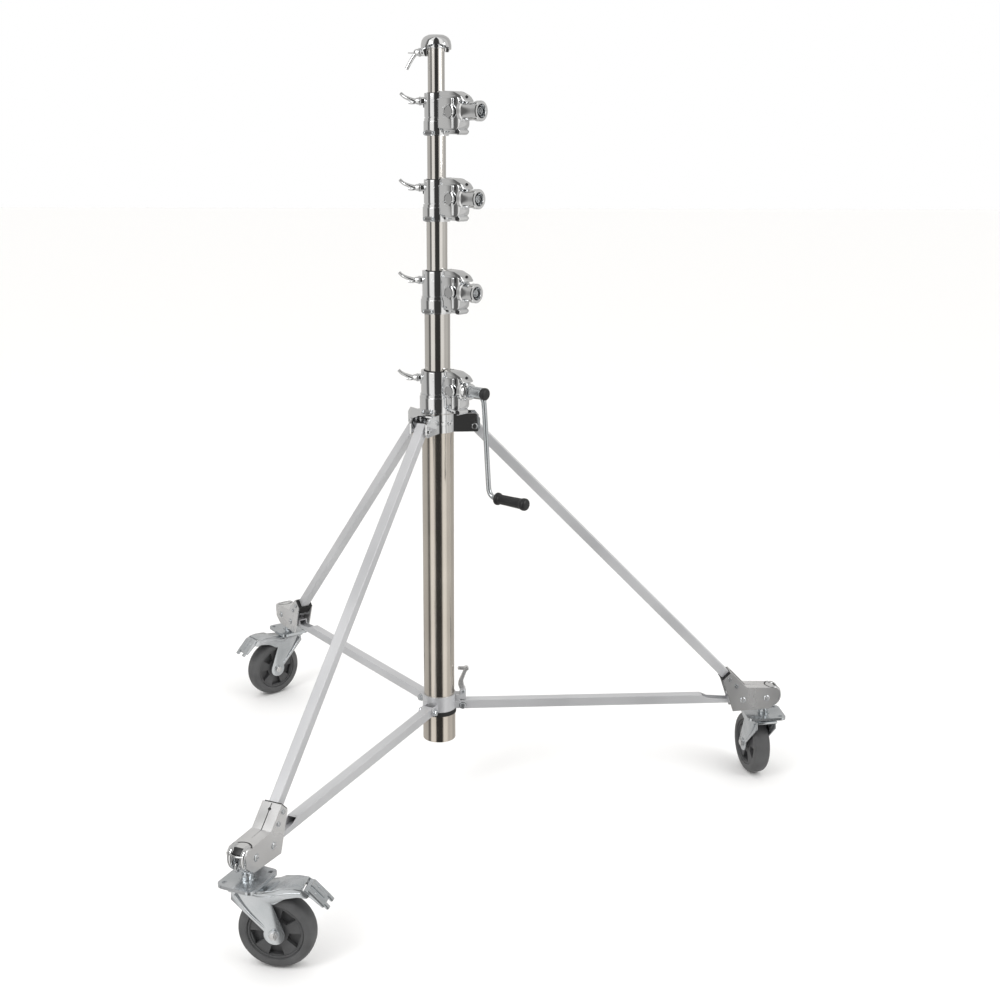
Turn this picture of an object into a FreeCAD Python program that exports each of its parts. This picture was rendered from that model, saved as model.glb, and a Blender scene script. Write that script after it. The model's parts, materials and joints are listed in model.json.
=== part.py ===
import FreeCAD, Part

# Crank-up lighting stand: five telescopic tubes, each driven by a gearbox on the collar below it, on a
# three-leg folding base with braked swivel casters.
#
# Frame: millimetres, +Z up, origin on the floor under the column's axis. Leg 1 points along +X and the
# legs stand 120 degrees apart. Every leg is drawn in its own (radius, side, height) plane and then turned.

import math
import os

from FreeCAD import Vector

# ---- driving dimensions ----
LEG_AZIMUTHS = [0.0, 120.0, 240.0]
CASTER_YAWS = [97.0, 217.0, -14.0]  # the way each wheel trails from its swivel
GEAR_AZIMUTH = -45.0
BOLT_AZIMUTH = 172.0
RUN = 0.05  # radial running clearance of every sliding or turning fit

BASE_R, BASE_WALL, BASE_Z = 38.0, 2.5, (150.0, 1024.0)
SLEEVE_R, SLEEVE_Z = 40.5, (150.0, 219.0)
STOP_R, STOP_Z = 42.5, (219.0, 229.5)
LOW_COLLAR_R, LOW_COLLAR_Z = 41.5, (230.0, 269.0)
HUB_R, HUB_Z = 42.0, (938.0, 982.0)

# (outer radius, wall, bottom, top) of the four risers, largest first
RISERS = [
    (30.0, 2.0, 190.0, 1252.0),
    (24.0, 2.0, 195.0, 1461.0),
    (21.25, 1.75, 200.0, 1650.0),
    (19.0, 2.0, 205.0, 1812.0),
]
# (lower sleeve radius, upper sleeve radius, bottom, shoulder, top, nose end) of the four collars
COLLARS = [
    (41.0, 37.5, 983.0, 1024.0, 1082.0, 104.0),
    (36.5, 33.0, 1217.0, 1252.0, 1314.0, 122.0),
    (30.75, 27.75, 1426.0, 1461.0, 1519.0, 128.0),
    (27.5, 25.5, 1615.0, 1650.0, 1707.0, 134.0),
]
SHAFT_OVER_SHOULDER = 18.0  # height of a gearbox's input shaft over the collar's shoulder
BOLT_OVER_SHOULDER = 40.0
INPUT_R = 8.0
NOSE_R = 22.0
BOLT_R = 4.0

CAP_R, CAP_Z = 34.0, (1812.0, 1831.0)
CAP_SKIRT_R, CAP_SKIRT_Z = 24.0, 1776.0
SPIGOT_R, SPIGOT_BOTTOM = 14.4, 1752.0  # the head's socket takes a 28 mm spigot

LEG_TOP = (86.0, 951.0)  # pivot on the hub, (radius, height)
LEG_AIM = (741.0, 283.0)  # a point on the leg's axis in its socket
LEG_W, LEG_WALL = 23.0, 2.0
LEG_END = 955.0  # how far the leg runs down from its pivot, in its socket
SOCKET_MOUTH = 917.0
SOCKET_SCREWS = (927.0, 953.0)
BRACE_IN = (58.0, 239.0)  # pivot on the lower collar
BRACE_OUT = (772.0, 232.0)  # pivot in the foot bracket
BRACE_W, BRACE_H, BRACE_WALL = 24.0, 23.0, 2.0
EAR_GAP, EAR_T = 37.0, 3.5
HUB_WEB_END = 62.0  # the channels are open on top beyond this radius
CLEVIS_GAP, CLEVIS_W = 25.0, 34.0
BRACKET_W, SHEET = 46.0, 3.0

SWIVEL_X = 833.0
HANGER_Z = 236.0  # the rivet that carries the caster
PLATE_Z = (181.0, 188.0)
PLATE_L, PLATE_W = 100.0, 85.0
TRAIL = 59.0
WHEEL_R, TYRE_W, RIM_R = 80.0, 42.0, 58.0
FORK_GAP, FORK_T = 47.0, 3.5
CROWN_Z = (166.0, 172.9)
AXLE_R, NUT_R = 5.0, 8.5
FORK_END_R = 17.0
PEDAL_PIVOT = (126.0, 174.0)  # from the swivel axis, (trail, height)

CRANK_SLEEVE = (105.0, 140.0)
CRANK_R, CRANK_ROD_R, SPINDLE_R = 14.0, 6.0, 5.0
CRANK_DROP = 241.0
GRIP_X = (182.0, 274.0)

LATCH_PIVOT = (59.0, 273.0)
LATCH_TIP = (68.0, 330.0)

PARTS = "parts"


# ---- helpers ----
def cyl(r, h, at=(0, 0, 0), axis=(0, 0, 1)):
    return Part.makeCylinder(r, h, Vector(*at), Vector(*axis))


def cone(r0, r1, h, at, axis):
    return Part.makeCone(r0, r1, h, Vector(*at), Vector(*axis))


def box(x, y, z):
    """A box from three (low, high) spans."""
    return Part.makeBox(x[1] - x[0], y[1] - y[0], z[1] - z[0], Vector(x[0], y[0], z[0]))


def ring(r_out, r_in, span):
    low, high = span
    return cyl(r_out, high - low, (0, 0, low)).cut(cyl(r_in, high - low + 2, (0, 0, low - 1)))


def prism(outline, width):
    """An (x, z) outline extruded along Y, centred on y = 0."""
    corners = [Vector(x, -width / 2, z) for x, z in outline]
    return Part.Face(Part.makePolygon(corners + corners[:1])).extrude(Vector(0, width, 0))


def lathe(outline, at=(0, 0, 0), axis=(1, 0, 0)):
    """An (along, radius) outline turned about the X axis, then moved so that its axis starts at a point."""
    corners = [Vector(x, r, 0) for x, r in outline]
    solid = Part.Face(Part.makePolygon(corners + corners[:1])).revolve(Vector(), Vector(1, 0, 0), 360)
    solid.Placement = FreeCAD.Placement(Vector(*at), FreeCAD.Rotation(Vector(1, 0, 0), Vector(*axis)))
    return solid


def turn(shape, degrees, centre=(0, 0, 0), axis=(0, 0, 1)):
    copy = shape.copy()
    copy.rotate(Vector(*centre), Vector(*axis), degrees)
    return copy


def join(shapes):
    return shapes[0].multiFuse(shapes[1:]).removeSplitter()


def rounded(shape, radius, pick):
    """Rounds the edges that pick accepts."""
    return shape.makeFillet(radius, [edge for edge in shape.Edges if pick(edge)])


def along(axis):
    """Accepts straight edges parallel to an axis."""
    direction = Vector(*axis)

    def pick(edge):
        return edge.Curve.TypeId == "Part::GeomLine" and abs(edge.tangentAt(0).dot(direction)) > 0.999

    return pick


def outer_rim(edge):
    """Accepts the foot sleeve's two outer circles."""
    return edge.Curve.TypeId == "Part::GeomCircle" and edge.Curve.Radius > (SLEEVE_R + BASE_R) / 2


def rod(points, r):
    """A round rod through (x, y, z) points, with a ball in each bend."""
    pieces = []
    for start, end in zip(points, points[1:]):
        run = Vector(*end) - Vector(*start)
        pieces.append(Part.makeCylinder(r, run.Length, Vector(*start), run))
    pieces += [Part.makeSphere(r, Vector(*bend)) for bend in points[1:-1]]
    return join(pieces)


def rivet(x, z, r, half, head_r, head_h):
    """A pin along Y with a domed head outside each end."""
    pin = cyl(r, 2 * half, (x, -half, z), (0, 1, 0))
    heads = [cone(head_r, head_r * 0.7, head_h, (x, side * half, z), (0, side, 0)) for side in (-1, 1)]
    return join([pin] + heads)


def beam(start, end, width, height, wall):
    """A square tube in the leg's plane from one (x, z) point to another."""
    length = math.hypot(end[0] - start[0], end[1] - start[1])
    slope = math.degrees(math.atan2(end[1] - start[1], end[0] - start[0]))
    outer = box((0, length), (-width / 2, width / 2), (-height / 2, height / 2))
    outer = rounded(outer, 2.0, along((1, 0, 0)))
    half_w, half_h = width / 2 - wall, height / 2 - wall
    tube = outer.cut(box((-1, length + 1), (-half_w, half_w), (-half_h, half_h)))
    tube.rotate(Vector(), Vector(0, 1, 0), -slope)
    tube.translate(Vector(start[0], 0, start[1]))
    return tube


def save(name, shape):
    shape.exportStep(os.path.join(PARTS, name + ".step"))


# ---- the leg's own directions ----
LEG_RUN = math.hypot(LEG_AIM[0] - LEG_TOP[0], LEG_AIM[1] - LEG_TOP[1])
LEG_DIR = ((LEG_AIM[0] - LEG_TOP[0]) / LEG_RUN, (LEG_AIM[1] - LEG_TOP[1]) / LEG_RUN)
LEG_OUT = (-LEG_DIR[1], LEG_DIR[0])  # square to the leg, up and outwards


def on_leg(distance, offset=0.0):
    """The (x, z) point a distance down the leg from its pivot, and off its axis to the outside."""
    return (
        LEG_TOP[0] + distance * LEG_DIR[0] + offset * LEG_OUT[0],
        LEG_TOP[1] + distance * LEG_DIR[1] + offset * LEG_OUT[1],
    )


# ---- column ----
def tube_with_screw_hole(r, wall, span, hole_z=None):
    tube = rounded(ring(r, r - wall, span), 0.6, lambda edge: edge.BoundBox.ZLength < 0.01)
    if hole_z is None:
        return tube
    return tube.cut(turn(cyl(BOLT_R + RUN, r + 5, (0, 0, hole_z), (1, 0, 0)), BOLT_AZIMUTH))


def collar(stage):
    """The stepped sleeve that clamps the tube below and guides the riser that slides through it."""
    low_r, up_r, bottom, shoulder, top, _ = COLLARS[stage]
    parent_r = BASE_R if stage == 0 else RISERS[stage - 1][0]
    riser_r = RISERS[stage][0]
    body = ring(low_r, parent_r, (bottom, shoulder)).fuse(ring(up_r, riser_r + RUN, (shoulder, top)))
    step = ring(low_r, riser_r + RUN, (shoulder, shoulder + 3))
    lip = ring(up_r + 1.5, riser_r + RUN, (top - 5, top)).fuse(step)
    boss_z = shoulder + BOLT_OVER_SHOULDER
    boss = cyl(9.0, 12.0, (riser_r + 2, 0, boss_z), (1, 0, 0))
    boss = boss.fuse(box((riser_r + 2, riser_r + 10), (-6, 6), (boss_z - 14, boss_z)))
    body = body.fuse(lip).fuse(turn(boss, BOLT_AZIMUTH))
    for azimuth in (-112.0, 60.0):
        screw = cone(5.5, 4.0, 4.5, (up_r - 2, 0, boss_z), (1, 0, 0))
        body = body.fuse(turn(screw, azimuth))
    lug = box((low_r - 2, low_r + 7), (-7, 7), (bottom, bottom + 12))
    lug = lug.fuse(cyl(4.5, 18.0, (low_r + 3, -9, bottom + 6), (0, 1, 0)))
    body = body.fuse(turn(lug, -125.0))
    body = body.cut(turn(cyl(BOLT_R + RUN, 60, (riser_r - 2, 0, boss_z), (1, 0, 0)), BOLT_AZIMUTH))
    return body.cut(cyl(riser_r + RUN, 200, (0, 0, shoulder - 1)))


def gear_housing(stage):
    """The gearbox casting: a box against the collar, a hood, a nose round the input shaft and a cover lug."""
    low_r, up_r, bottom, shoulder, top, nose_end = COLLARS[stage]
    shaft_z = shoulder + SHAFT_OVER_SHOULDER
    wall_end = 86.0
    block = box((up_r - 6, wall_end), (-21, 21), (bottom + 8, top - 2))
    block = rounded(block, 8.0, along((0, 1, 0)))
    hood_in = up_r - 4
    outline = [(hood_in, top + 6), (68, top + 4), (96, top - 14), (96, top - 20), (hood_in, top - 20)]
    hood = prism(outline, 36.0)
    nose = cyl(NOSE_R, nose_end - 60, (60, 0, shaft_z), (1, 0, 0))
    collar_ring = cyl(NOSE_R + 2.5, 8.0, (wall_end - 2, 0, shaft_z), (1, 0, 0))
    lug = cyl(7.0, 26.0, (78, -13, bottom + 6), (0, 1, 0))
    cover = cyl(15.0, 50.0, (62, -25, shaft_z), (0, 1, 0))
    body = join([block, hood, nose, collar_ring, lug, cover])
    body = body.cut(cyl(low_r, 400, (0, 0, bottom - 20)))
    body = body.cut(cyl(INPUT_R + RUN, 200, (54, 0, shaft_z), (1, 0, 0)))
    if stage > 0:
        body = body.cut(cyl(15.0, 40, (nose_end - 22, 0, shaft_z), (1, 0, 0)))
    return turn(body, GEAR_AZIMUTH)


def input_shaft(stage):
    """The shaft that the crank turns, with a cross hole's pin at its outer end."""
    nose_end = COLLARS[stage][5]
    shaft_z = COLLARS[stage][3] + SHAFT_OVER_SHOULDER
    reach = 138.0 if stage == 0 else nose_end - 4
    shaft = cyl(INPUT_R, reach - 55, (55, 0, shaft_z), (1, 0, 0))
    if stage > 0:
        shaft = shaft.fuse(cyl(3.0, 22.0, (nose_end - 10, -11, shaft_z), (0, 1, 0)))
    return turn(shaft, GEAR_AZIMUTH)


def t_bolt(tip, seat, end, z, lift=1):
    """A clamping screw along +X, with a hub on its seat and a wing that rises or drops to its end."""
    screw = cyl(BOLT_R, seat - tip + 2, (tip, 0, z), (1, 0, 0))
    hub = lathe([(0, 0), (0, 8.5), (3, 9.5), (12, 7.0), (17, 0)], (seat + 0.4, 0, z))
    wing = rod([(seat + 8, 0, z), (end - 18, 0, z + 7 * lift), (end - 4, 0, z + 20 * lift)], 5.2)
    bar = rod([(end - 15, -12, z + 9 * lift), (end - 15, 12, z + 9 * lift)], 4.6)
    return turn(join([screw, hub, wing, bar]), BOLT_AZIMUTH)


def top_cap():
    """The domed head with its spigot socket, a skirt over the last riser and a lug."""
    riser_r, wall = RISERS[3][0], RISERS[3][1]
    low, high = CAP_Z
    dome = cyl(CAP_R, high - low, (0, 0, low))
    dome = rounded(dome, 8.0, lambda edge: edge.BoundBox.ZMin > high - 0.01)
    skirt = ring(CAP_SKIRT_R, riser_r, (CAP_SKIRT_Z, low + 1))
    inner = cyl(riser_r - wall, low - SPIGOT_BOTTOM + 1, (0, 0, SPIGOT_BOTTOM))
    bolt_z = (CAP_SKIRT_Z + low) / 2
    boss = turn(cyl(8.0, 12.0, (CAP_SKIRT_R - 3, 0, bolt_z), (1, 0, 0)), BOLT_AZIMUTH)
    lug = box((CAP_SKIRT_R - 2, CAP_R - 2), (-5, 5), (low - 16, low + 1))
    body = join([dome, skirt, boss, turn(lug, -10.0)]).fuse(inner)
    body = body.cut(cyl(SPIGOT_R, 200, (0, 0, SPIGOT_BOTTOM - 1)))
    return body.cut(turn(cyl(BOLT_R + RUN, 60, (10, 0, bolt_z), (1, 0, 0)), BOLT_AZIMUTH))


# ---- crank ----
def crank_shoulder(shaft_z):
    """The rod's first run, out of the sleeve's end and down through the cap."""
    end = CRANK_SLEEVE[1]
    return [(end + 3, 0, shaft_z - 9), (end + 6, 0, shaft_z - 45)]


def crank_arm(shaft_z):
    """The sleeve on the input shaft, the bent rod and the spindle under the grip."""
    start, end = CRANK_SLEEVE
    sleeve = turn(ring(CRANK_R, INPUT_R, (0, end - start)), 90, axis=(0, 1, 0))
    sleeve.translate(Vector(start, 0, shaft_z))
    grip_z = shaft_z - CRANK_DROP
    spindle_x = GRIP_X[0] - 8
    path = crank_shoulder(shaft_z) + [(end + 20, 0, grip_z + 22), (spindle_x, 0, grip_z)]
    spindle = cyl(SPINDLE_R, GRIP_X[1] - GRIP_X[0], (spindle_x, 0, grip_z), (1, 0, 0))
    arm = rod(path, CRANK_ROD_R).cut(cyl(INPUT_R, 60, (start - 5, 0, shaft_z), (1, 0, 0)))
    return turn(join([sleeve, arm, spindle]), GEAR_AZIMUTH)


def crank_cap(shaft_z):
    outline = [(0, 0), (0, CRANK_R), (9, CRANK_R), (13, CRANK_R - 4), (13, 0)]
    cap = lathe(outline, (CRANK_SLEEVE[1], 0, shaft_z))
    return turn(cap.cut(rod(crank_shoulder(shaft_z), CRANK_ROD_R + 0.2)), GEAR_AZIMUTH)


def crank_grip(shaft_z):
    low, high = GRIP_X
    length = high - low
    outline = [(0, 0), (0, 12), (2, 15), (7, 15), (11, 11.5), (length - 16, 12.5), (length - 12, 14.5),
               (length - 4, 14.5), (length, 10), (length, 0)]
    grip = lathe(outline, (low, 0, shaft_z - CRANK_DROP))
    bore = cyl(SPINDLE_R + RUN, length - 5, (low - 1, 0, shaft_z - CRANK_DROP), (1, 0, 0))
    return turn(grip.cut(bore), GEAR_AZIMUTH)


# ---- base ----
def upper_hub():
    """The ring that carries the legs, with three open channels and their pivot screws."""
    low, high = HUB_Z
    body = ring(HUB_R, BASE_R, HUB_Z)
    inner, outer = EAR_GAP / 2, EAR_GAP / 2 + EAR_T
    cheek_end = LEG_TOP[0] + 13
    outline = [(20, low), (cheek_end - 6, low), (cheek_end, low + 8), (cheek_end, high - 12),
               (cheek_end - 10, high), (20, high)]
    channel = prism(outline, 2 * outer).cut(box((0, 200), (-inner, inner), (low - 1, high - 3)))
    channel = channel.cut(box((HUB_WEB_END, 200), (-inner, inner), (low - 1, high + 1)))
    channel = channel.cut(cyl(BASE_R + 1, 100, (0, 0, low - 20)))
    pivot_x, pivot_z = LEG_TOP
    screws = [cone(7.0, 5.0, 3.0, (pivot_x, side * outer, pivot_z), (0, side, 0)) for side in (-1, 1)]
    channel = join([channel] + screws)
    for azimuth in LEG_AZIMUTHS:
        body = body.fuse(turn(channel, azimuth))
    for azimuth in (-75.0, -45.0, 60.0, 180.0):
        body = body.fuse(turn(cone(5.0, 4.0, 4.5, (HUB_R - 2, 0, (low + high) / 2), (1, 0, 0)), azimuth))
    return body


def lower_collar():
    """The sliding ring that carries the braces, with three clevises and the latch's bracket."""
    low, _ = LOW_COLLAR_Z
    x, z = BRACE_IN
    half = CLEVIS_W / 2
    body = ring(LOW_COLLAR_R, BASE_R + RUN, LOW_COLLAR_Z)
    outline = [(36, low + 1), (x + 4, low + 1), (x + 9, z - 5), (x + 9, z + 6), (x + 2, z + 12), (36, z + 12)]
    cheeks = prism(outline, CLEVIS_W)
    cheeks = cheeks.cut(box((LOW_COLLAR_R, 200), (-CLEVIS_GAP / 2, CLEVIS_GAP / 2), (0, 400)))
    pin = cyl(4.0, CLEVIS_W, (x, -half, z), (0, 1, 0))
    heads = [cone(8.5, 6.0, 4.0, (x, side * half, z), (0, side, 0)) for side in (-1, 1)]
    clevis = join([cheeks, pin] + heads).cut(cyl(BASE_R + 1, 100, (0, 0, low - 20)))
    for azimuth in LEG_AZIMUTHS:
        body = body.fuse(turn(clevis, azimuth))
    shelf = box((LOW_COLLAR_R - 1, 66), (-12, 12), (z + 14, z + 26))
    web = box((LOW_COLLAR_R - 1, 52), (-12, 12), (z + 10, z + 16))
    ears = [box((52, 66), span, (z + 25, z + 40)) for span in ((-12, -5.5), (5.5, 12))]
    return body.fuse(shelf).fuse(web).fuse(ears[0]).fuse(ears[1])


def latch_lever():
    """The clamp lever over the first brace: a bowed arm with a cross bar that points back to the tube."""
    x, z = LATCH_PIVOT
    tip_x, tip_z = LATCH_TIP
    thickness = 10.0
    hub = cyl(6.5, thickness, (x, -thickness / 2, z), (0, 1, 0))
    outline = [(x - 6, z), (x - 12, z + 14), (x - 10, z + 26), (tip_x - 5, tip_z), (tip_x + 4, tip_z),
               (x + 1, z + 26), (x + 4, z + 14), (x + 6, z)]
    bar = rod([(tip_x, 0, tip_z), (tip_x - 22, 0, tip_z + 2)], 5.0)
    ball = Part.makeSphere(6.0, Vector(tip_x, 0, tip_z))
    return join([hub, prism(outline, thickness), bar, ball])


def leg():
    """The square main leg, with its pivot pin between the hub's cheeks."""
    tube = beam(on_leg(-14), on_leg(LEG_END), LEG_W, LEG_W, LEG_WALL)
    pin = cyl(5.0, EAR_GAP - 0.4, (LEG_TOP[0], 0.2 - EAR_GAP / 2, LEG_TOP[1]), (0, 1, 0))
    return tube.fuse(pin)


def brace():
    """The square brace. Its top is cut away by the bracket so that the leg can fold down on to it."""
    (x0, z0), (x1, z1) = BRACE_IN, BRACE_OUT
    slope = (z1 - z0) / (x1 - x0)
    half = BRACE_H / 2
    tube = beam((x0 + 4, z0 + 4 * slope), (x1 - 4, z1 - 4 * slope), BRACE_W, BRACE_H, BRACE_WALL)
    ends = [cyl(half, BRACE_W, (x, -BRACE_W / 2, z), (0, 1, 0)) for x, z in (BRACE_IN, BRACE_OUT)]
    end = (x1, z1 - half + 0.6)
    start = (x1 - 112, end[1] - 112 * slope)
    floor = prism([start, end, (end[0], end[1] + 4), (start[0], start[1] + 4)], BRACE_W - 1.2)
    cut = [(106, half + 0.5), (88, 3.5), (38, -0.8), (34, 30), (106, 30)]
    relief = prism([(x1 - inboard, z1 + rise) for inboard, rise in cut], 60.0)
    body = join([tube, floor] + ends).cut(relief)
    body = body.cut(cyl(4.0 + RUN, 60, (x0, -30, z0), (0, 1, 0)))
    return body.cut(cyl(5.0 + RUN, 60, (x1, -30, z1), (0, 1, 0)))


def foot_bracket():
    """The folded sheet bracket: two cheeks and a top wall, with the brace's rivet and the caster's rivet."""
    top = LEG_W / 2 + 1
    roof = HANGER_Z + 27
    outline = [on_leg(SOCKET_MOUTH, top + SHEET), on_leg(975, top + SHEET), (SWIVEL_X + 25, roof),
               (SWIVEL_X + 34, roof - 9), (SWIVEL_X + 30, HANGER_Z - 12), (SWIVEL_X + 9, HANGER_Z - 29),
               (747, HANGER_Z - 34), on_leg(SOCKET_MOUTH, -14)]
    inside = [on_leg(SOCKET_MOUTH - 37, top), on_leg(976.4, top), (SWIVEL_X + 23, roof - SHEET),
              (SWIVEL_X + 29, roof - 10), (900, roof - 10), (900, 180), (690, 180), (650, 340)]
    shell = prism(outline, BRACKET_W).cut(prism(inside, BRACKET_W - 2 * SHEET))
    half = BRACKET_W / 2
    pieces = [shell, rivet(BRACE_OUT[0], BRACE_OUT[1], 5.0, half, 7.0, 3.5)]
    pieces.append(rivet(SWIVEL_X, HANGER_Z, 5.0, half, 7.0, 3.5))
    spacer = half - 1 - BRACE_W / 2 - 0.3
    for side in (-1, 1):
        start = BRACE_W / 2 + 0.3 if side > 0 else -half + 1
        pieces.append(cyl(9.0, spacer, (BRACE_OUT[0], start, BRACE_OUT[1]), (0, 1, 0)))
    for distance in SOCKET_SCREWS:
        x, z = on_leg(distance)
        for side in (-1, 1):
            pieces.append(cone(5.0, 3.8, 2.5, (x, side * (half - 0.5), z), (0, side, 0)))
    return join(pieces)


def socket_liner():
    """The rubber sleeve between the leg and the bracket's cheeks."""
    top, under = LEG_W / 2 + 1, -LEG_W / 2 - 4
    start, end = SOCKET_MOUTH - 3, LEG_END - 5
    outer = prism([on_leg(start, top), on_leg(end, top), on_leg(end, under), on_leg(start, under)],
                  BRACKET_W - 2 * SHEET)
    half = LEG_W / 2
    leg_space = prism([on_leg(start - 20, half), on_leg(LEG_END, half), on_leg(LEG_END, -half),
                       on_leg(start - 20, -half)], LEG_W)
    return outer.cut(leg_space)


def caster_plate():
    """The caster's pressed top plate, its block on the bracket's rivet, and the swivel's fixed half."""
    low, high = PLATE_Z
    plate = box((-PLATE_L / 2, PLATE_L / 2), (-PLATE_W / 2, PLATE_W / 2), (low, high))
    plate = rounded(plate, 14.0, along((0, 0, 1)))
    for x in (-36.0, 36.0):
        for y in (-30.0, 30.0):
            slot = box((x - 5, x + 5), (y - 4, y + 4), (low - 1, high + 1))
            plate = plate.cut(rounded(slot, 3.9, along((0, 0, 1))))
    neck = cyl(11.0, 26.0, (0, 0, high - 1), (0, 0, 1))
    block = prism([(-19, high + 20), (19, high + 20), (19, HANGER_Z + 8), (12, HANGER_Z + 14),
                   (-12, HANGER_Z + 14), (-19, HANGER_Z + 8)], BRACKET_W - 2 * SHEET)
    race = cone(24.0, 30.0, low - CROWN_Z[1] - 0.1, (0, 0, CROWN_Z[1] + 0.1), (0, 0, 1))
    king_pin = cyl(8.0, 30.0, (0, 0, CROWN_Z[0] - 0.5), (0, 0, 1))
    head = cyl(13.0, 5.0, (0, 0, CROWN_Z[0] - 5.1), (0, 0, 1))
    body = join([plate, neck, block, race, king_pin, head])
    body.translate(Vector(SWIVEL_X, 0, 0))
    return body.cut(cyl(5.0, 60, (SWIVEL_X, -30, HANGER_Z), (0, 1, 0)))


def caster_fork():
    """The swivelling fork: its crown, sides, the band over the wheel and the axle. The trail is on +X."""
    outer_w = FORK_GAP + 2 * FORK_T
    bottom, top = CROWN_Z
    band = [(30, top), (60, 178), (72, 184), (100, 187), (120, 185)]
    under = [(120, 181.5), (100, 183.5), (74, 180.5), (62, 174.5), (30, bottom)]
    lower_edge = [(135, 174), (128, 165), (111, 170), (80, 161), (53, 148), (76, 84), (42, 74), (-28, 150)]
    side = [(-30, top)] + band + lower_edge
    sides = prism(side, outer_w).fuse(cyl(FORK_END_R, outer_w, (TRAIL, -outer_w / 2, WHEEL_R), (0, 1, 0)))
    sides = sides.cut(box((-100, 300), (-FORK_GAP / 2, FORK_GAP / 2), (0, 300)))
    crown = box((-30, 32), (-outer_w / 2, outer_w / 2), CROWN_Z)
    skin = prism(band + under, outer_w)
    axle = cyl(AXLE_R, outer_w, (TRAIL, -outer_w / 2, WHEEL_R), (0, 1, 0))
    nuts = [cyl(NUT_R, 6.5, (TRAIL, side_y * outer_w / 2, WHEEL_R), (0, side_y, 0)) for side_y in (-1, 1)]
    body = join([sides, crown, skin, axle] + nuts)
    return body.cut(cyl(8.0 + RUN, 60, (0, 0, bottom - 20)))


def wheel_hub():
    """The plastic wheel centre with five wedge-shaped pockets in each face."""
    half, face, web = FORK_GAP / 2 - 0.3, 15.0, 4.0
    hub = cyl(RIM_R, 2 * face, (0, -face, 0), (0, 1, 0)).fuse(cyl(14.0, 2 * half, (0, -half, 0), (0, 1, 0)))
    wedge = prism([(26, -8), (50, -16.5), (50, 16.5), (26, 8)], 40.0)
    for side in (-1, 1):
        pocket = wedge.copy()
        pocket.translate(Vector(0, side * (20.0 + web), 0))
        for spoke in range(5):
            hub = hub.cut(turn(pocket, 72.0 * spoke + 18, axis=(0, 1, 0)))
    hub = hub.cut(cyl(AXLE_R + RUN, 60, (0, -30, 0), (0, 1, 0)))
    hub.translate(Vector(TRAIL, 0, WHEEL_R))
    return hub


def tyre():
    half = TYRE_W / 2
    outer = cyl(WHEEL_R, TYRE_W, (0, -half, 0), (0, 1, 0))
    outer = rounded(outer, 13.0, lambda edge: edge.Curve.TypeId == "Part::GeomCircle")
    body = outer.cut(cyl(RIM_R, 60, (0, -30, 0), (0, 1, 0)))
    body.translate(Vector(TRAIL, 0, WHEEL_R))
    return body


def brake_pedal():
    """The wheel-lock pedal between the fork's sides, with two prongs at its end."""
    x, z = PEDAL_PIVOT
    width = FORK_GAP - 0.6
    heel = x - 4.5
    outline = [(heel, z + 10), (x + 7, z + 9), (x + 38, z - 22), (x + 33, z - 27), (x + 8, z - 7)]
    outline.append((heel, z - 2))
    pad = prism(outline, width)
    prongs = []
    for y in (-15.0, 15.0):
        prong = prism([(x + 30, z - 21), (x + 36, z - 17), (x + 46, z - 28), (x + 41, z - 32)], 10.0)
        prong.translate(Vector(0, y, 0))
        prongs.append(prong)
    pin = cyl(4.0, width, (x, -width / 2, z), (0, 1, 0))
    return join([pad, pin] + prongs)


def on_caster(shape, yaw):
    """Turns a swivelling piece about the swivel axis and moves it out to the end of the leg."""
    copy = turn(shape, yaw)
    copy.translate(Vector(SWIVEL_X, 0, 0))
    return copy


def build():
    os.makedirs(PARTS, exist_ok=True)
    bolt_zs = [shape[3] + BOLT_OVER_SHOULDER for shape in COLLARS]
    cap_bolt_z = (CAP_SKIRT_Z + CAP_Z[0]) / 2
    save("base_tube", tube_with_screw_hole(BASE_R, BASE_WALL, BASE_Z))
    save("foot_sleeve", rounded(ring(SLEEVE_R, BASE_R, SLEEVE_Z), 1.0, outer_rim))
    save("stop_ring", ring(STOP_R, BASE_R, STOP_Z))
    save("upper_hub", upper_hub())
    for stage in range(4):
        number = str(stage + 1)
        r, wall, bottom, top = RISERS[stage]
        hole_z = cap_bolt_z if stage == 3 else None
        save("riser_" + number, tube_with_screw_hole(r, wall, (bottom, top), hole_z))
        save("collar_" + number, collar(stage))
        save("gear_housing_" + number, gear_housing(stage))
        save("input_shaft_" + number, input_shaft(stage))
        tip = r + 0.2
        seat = r + 14.0
        save("t_bolt_" + number, t_bolt(tip, seat, 94.0 - 4.0 * stage, bolt_zs[stage]))
    save("top_cap", top_cap())
    save("t_bolt_5", t_bolt(SPIGOT_R + 0.4, CAP_SKIRT_R + 9.0, 74.0, cap_bolt_z, -1))
    shaft_z = COLLARS[0][3] + SHAFT_OVER_SHOULDER
    save("crank_arm", crank_arm(shaft_z))
    save("crank_cap", crank_cap(shaft_z))
    save("crank_grip", crank_grip(shaft_z))
    save("lower_collar", lower_collar())
    save("latch_lever", latch_lever())
    leg_pieces = {
        "leg": leg(), "brace": brace(), "foot_bracket": foot_bracket(),
        "socket_liner": socket_liner(), "caster_plate": caster_plate(),
    }
    caster_pieces = {
        "caster_fork": caster_fork(), "wheel_hub": wheel_hub(), "tyre": tyre(), "brake_pedal": brake_pedal(),
    }
    for index, azimuth in enumerate(LEG_AZIMUTHS):
        number = str(index + 1)
        for name, shape in leg_pieces.items():
            save(name + "_" + number, turn(shape, azimuth))
        for name, shape in caster_pieces.items():
            yaw = CASTER_YAWS[index] - azimuth
            save(name + "_" + number, turn(on_caster(shape, yaw), azimuth))


build()
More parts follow.
